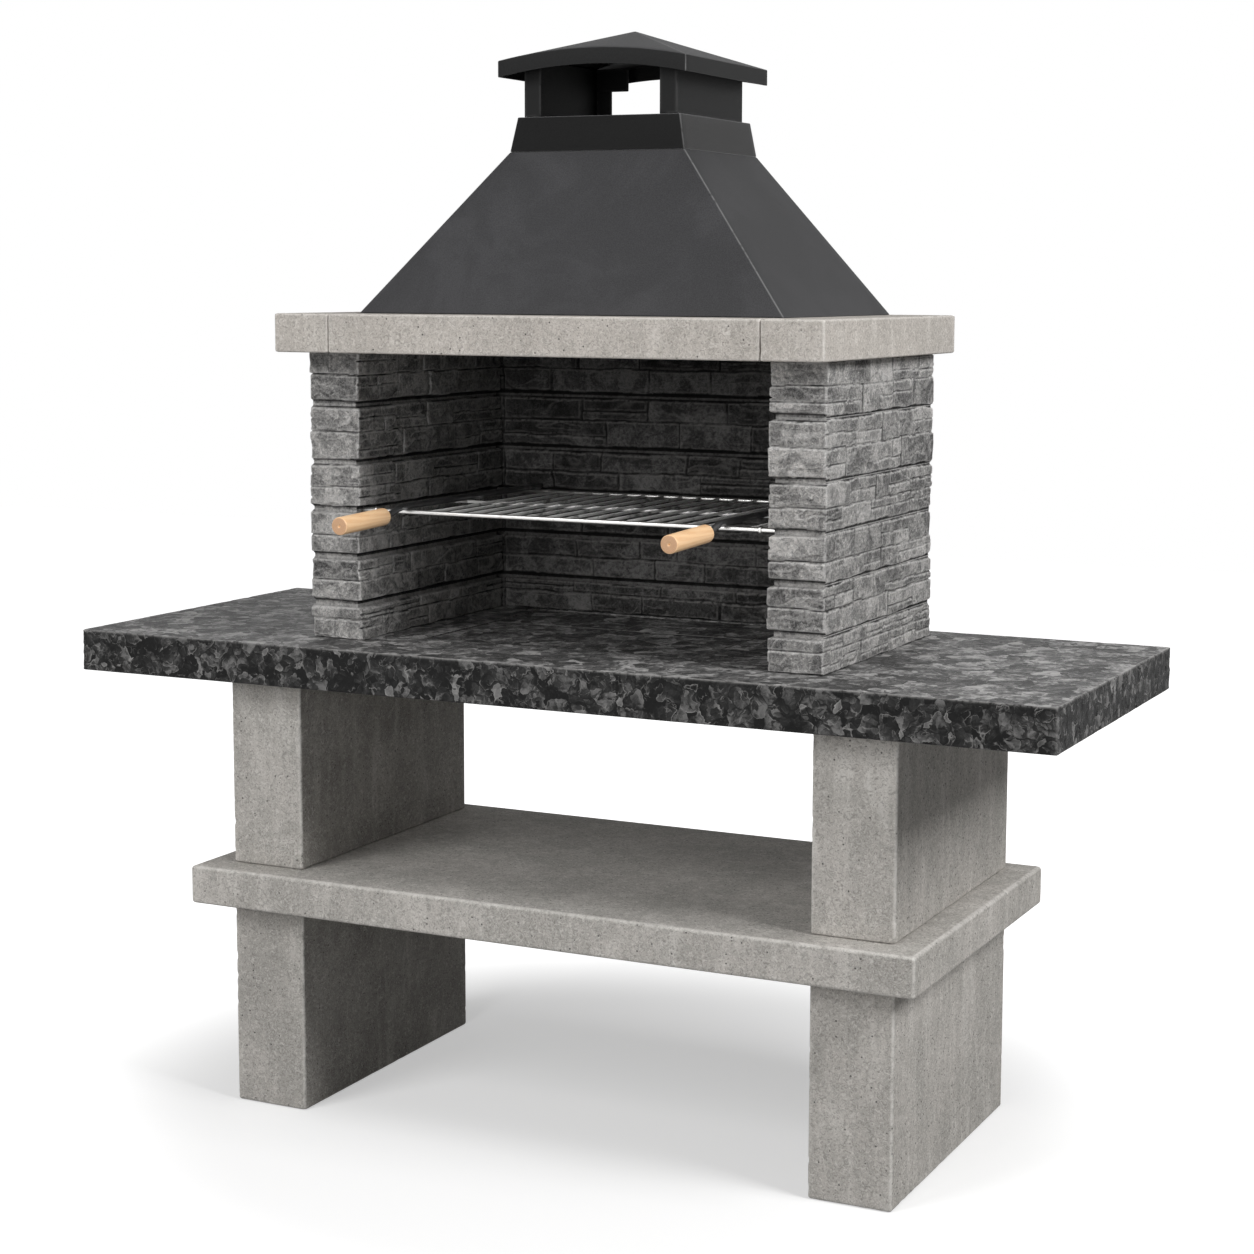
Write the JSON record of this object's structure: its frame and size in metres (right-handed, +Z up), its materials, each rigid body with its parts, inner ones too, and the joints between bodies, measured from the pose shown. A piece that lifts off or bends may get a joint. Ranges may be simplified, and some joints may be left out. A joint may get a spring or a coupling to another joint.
{
  "type": "outdoor masonry barbecue",
  "caption": "Free-standing masonry barbecue: split-stone firebox on a stone worktop, legs with a shelf, sheet steel hood and cap, and a grid that slides out.",
  "frame": {"origin": "middle of the whole object's footprint on the floor, the handles included", "axes": "+Z up from the floor to the cap; -Y towards the user at the front, +Y to the back wall; +X to the user's right"},
  "size_m": [1.86, 0.7864, 1.9624],
  "materials": {
    "concrete": "matte",
    "lintel_concrete": "matte",
    "slate_composite": "satin",
    "hearth_slab": "matte",
    "split_stone": "matte",
    "sooted_stone": "matte",
    "hood_paint": "satin",
    "bright_steel": "polished",
    "dark_steel": "satin",
    "beech": "satin"
  },
  "bodies": {
    "masonry": {"lower_leg_left": "concrete", "lower_leg_right": "concrete", "upper_leg_left": "concrete", "upper_leg_right": "concrete", "shelf": "concrete", "worktop": "slate_composite", "hearth_slab_1_1": "hearth_slab", "hearth_slab_1_2": "hearth_slab", "hearth_slab_1_3": "hearth_slab", "hearth_slab_2_1": "hearth_slab", "hearth_slab_2_2": "hearth_slab", "hearth_slab_2_3": "hearth_slab", "left_wall_block_1": "split_stone", "left_wall_block_2": "split_stone", "left_wall_block_3": "split_stone", "left_wall_block_4": "split_stone", "left_wall_block_5": "split_stone", "left_wall_block_6": "split_stone", "right_wall_block_1": "split_stone", "right_wall_block_2": "split_stone", "right_wall_block_3": "split_stone", "right_wall_block_4": "split_stone", "right_wall_block_5": "split_stone", "right_wall_block_6": "split_stone", "back_wall_block_1": "sooted_stone", "back_wall_block_2": "sooted_stone", "back_wall_block_3": "sooted_stone", "back_wall_block_4": "sooted_stone", "back_wall_block_5": "sooted_stone", "back_wall_block_6": "sooted_stone", "lintel_beam_left": "lintel_concrete", "lintel_beam_right": "lintel_concrete", "lintel_beam_front": "lintel_concrete", "lintel_beam_back": "lintel_concrete", "hood": "hood_paint", "hood_collar": "hood_paint", "chimney_side_left": "hood_paint", "chimney_side_right": "hood_paint", "chimney_cap": "hood_paint", "cap_bracket_left": "dark_steel", "cap_bracket_right": "dark_steel"},
    "grid": {"grid_front_bar": "bright_steel", "grid_back_bar": "bright_steel", "grid_rods": "bright_steel", "grid_ring_left": "bright_steel", "grid_ring_right": "bright_steel", "handle_shaft_left": "dark_steel", "handle_shaft_right": "dark_steel", "handle_left": "beech", "handle_right": "beech"}
  },
  "joints": [
    {"name": "grid_slide", "type": "slide", "parent": "masonry", "child": "grid", "axis": [0, -1, 0], "range_m": [0, 0.25]}
  ]
}
